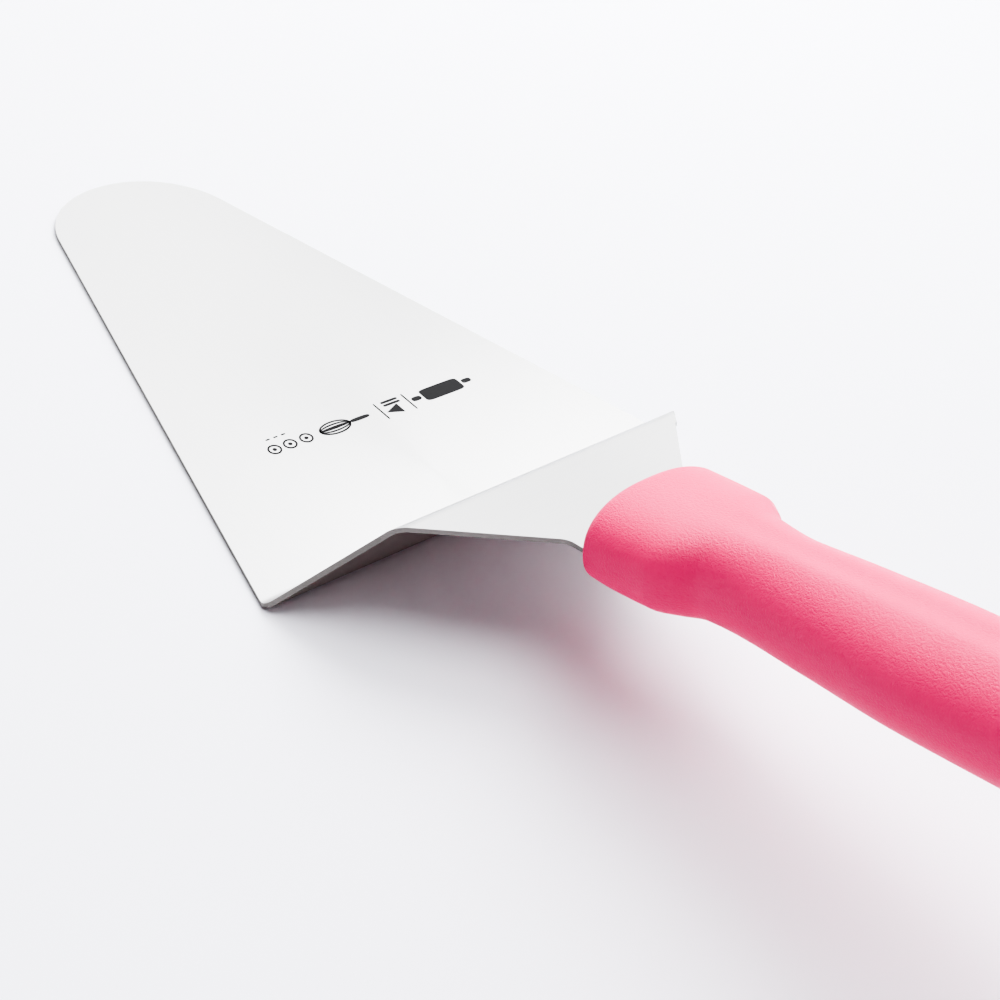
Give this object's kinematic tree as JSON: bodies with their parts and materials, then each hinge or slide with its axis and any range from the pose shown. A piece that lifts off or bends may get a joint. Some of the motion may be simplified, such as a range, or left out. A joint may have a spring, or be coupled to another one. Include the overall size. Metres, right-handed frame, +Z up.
{
  "type": "offset spatula",
  "caption": "Cranked cake server: flat rounded triangular steel blade, raised web and a moulded plastic handle set above the blade.",
  "frame": {"origin": "middle of the blade's flat underside, on its centre line", "axes": "+X from the handle to the blade's tip, +Y to the left seen from the handle, +Z up from the surface the blade rests on"},
  "size_m": [0.3165, 0.1096, 0.0674],
  "materials": {
    "blade": "fine brushed stainless, grain along the blade and across the web",
    "handle": "satin pink with a fine moulded leather grain"
  },
  "bodies": {
    "root": {"blade": "blade", "handle": "handle"}
  },
  "joints": []
}
